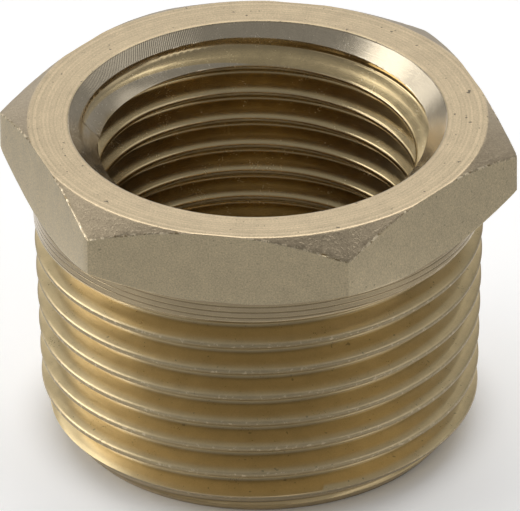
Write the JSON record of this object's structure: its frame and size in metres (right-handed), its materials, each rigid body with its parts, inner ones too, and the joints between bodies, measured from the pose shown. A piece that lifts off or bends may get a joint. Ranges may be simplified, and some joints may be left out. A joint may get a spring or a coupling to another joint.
{
  "type": "hex bushing",
  "caption": "Hex bushing that reduces a pipe thread: tapered outer thread under a bevelled hexagon, and a smaller parallel thread through the middle.",
  "frame": {"origin": "centre of the small end of the outer thread, on the axis", "axes": "+Z along the axis from the small end up to the hexagon; two flats of the hexagon face -Y and +Y, and two corners point to -X and +X"},
  "size_m": [0.0312, 0.027, 0.0202],
  "materials": {
    "brass": "turned and barrel-finished, pale satin"
  },
  "bodies": {
    "root": {"bushing": "brass"}
  },
  "joints": []
}
